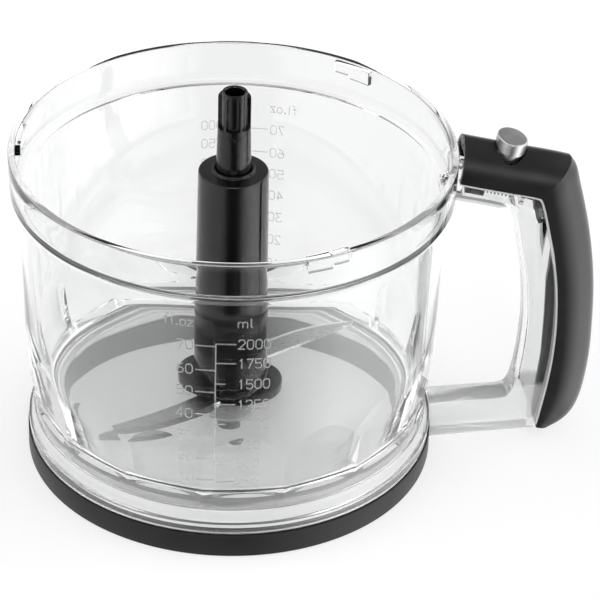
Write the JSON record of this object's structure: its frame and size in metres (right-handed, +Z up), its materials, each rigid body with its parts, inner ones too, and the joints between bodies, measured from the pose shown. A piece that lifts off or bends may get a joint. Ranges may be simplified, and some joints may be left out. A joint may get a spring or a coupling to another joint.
{
  "type": "food processor bowl",
  "caption": "Clear round food processor bowl with a side handle, release button, lid interlock, drive spindle and lift-out S-blade.",
  "frame": {"origin": "point on the drive axis in the plane of the base ring's underside", "axes": "+Z up along the drive axis; +X from the drive axis through the handle; +Y completes a right-handed frame"},
  "size_m": [0.2605, 0.194, 0.1785],
  "materials": {
    "clear_plastic": "clear, polished copolyester",
    "black_satin_plastic": "satin black ABS",
    "black_gloss_plastic": "gloss black plastic",
    "dark_grey_plastic": "dark grey acetal",
    "bearing_plastic": "pale bearing plastic",
    "steel": "turned steel",
    "blade_steel": "ground stainless steel",
    "spring_steel": "drawn spring wire",
    "brushed_aluminium": "brushed, turned top"
  },
  "bodies": {
    "housing": {"bowl": "clear_plastic", "base_ring": "black_satin_plastic", "spindle_bush": "bearing_plastic", "handle_frame": "clear_plastic", "handle_cover": "black_satin_plastic", "button_guide": "black_satin_plastic", "button_spring": "spring_steel", "slider_bracket": "clear_plastic", "lever_pin": "steel", "rod_spring": "spring_steel"},
    "spindle": {"spindle": "black_gloss_plastic", "drive_coupling": "dark_grey_plastic", "thrust_washer": "steel", "retaining_ring": "steel"},
    "blade": {"blade_hub": "black_gloss_plastic", "blade_lower": "blade_steel", "blade_upper": "blade_steel"},
    "button": {"release_button": "brushed_aluminium"},
    "slider": {"interlock_slider": "black_satin_plastic", "slider_spring": "spring_steel"},
    "lever": {"interlock_lever": "dark_grey_plastic"},
    "push_rod": {"push_rod": "dark_grey_plastic"}
  },
  "joints": [
    {"name": "spindle_spin", "type": "hinge", "parent": "housing", "child": "spindle", "pos_m": [0, 0, 0], "axis": [0, 0, 1], "continuous": true},
    {"name": "blade_lift", "type": "slide", "parent": "spindle", "child": "blade", "axis": [0, 0, 1], "range_m": [0, 0.155]},
    {"name": "button_press", "type": "slide", "parent": "housing", "child": "button", "axis": [-0.2198, 0, -0.9755], "range_m": [0, 0.0035], "stiffness_N_per_m": 600, "springref_m": -0.003, "deforming": ["button_spring"]},
    {"name": "slider_push", "type": "slide", "parent": "housing", "child": "slider", "axis": [0.9755, 0, -0.2198], "range_m": [0, 0.002], "stiffness_N_per_m": 500, "springref_m": -0.003},
    {"name": "lever_turn", "type": "hinge", "parent": "housing", "child": "lever", "pos_m": [0.1358, 0, 0.1175], "axis": [0, 1, 0], "range_deg": [0, 23.4]},
    {"name": "rod_press", "type": "slide", "parent": "housing", "child": "push_rod", "axis": [0, 0, -1], "range_m": [0, 0.0031], "stiffness_N_per_m": 300, "springref_m": -0.002, "deforming": ["rod_spring"]}
  ],
  "couplings": [
    {"joint": "lever_turn", "follows": "slider_push", "rad_per_m": 204},
    {"joint": "rod_press", "follows": "slider_push", "ratio": 1.55}
  ]
}
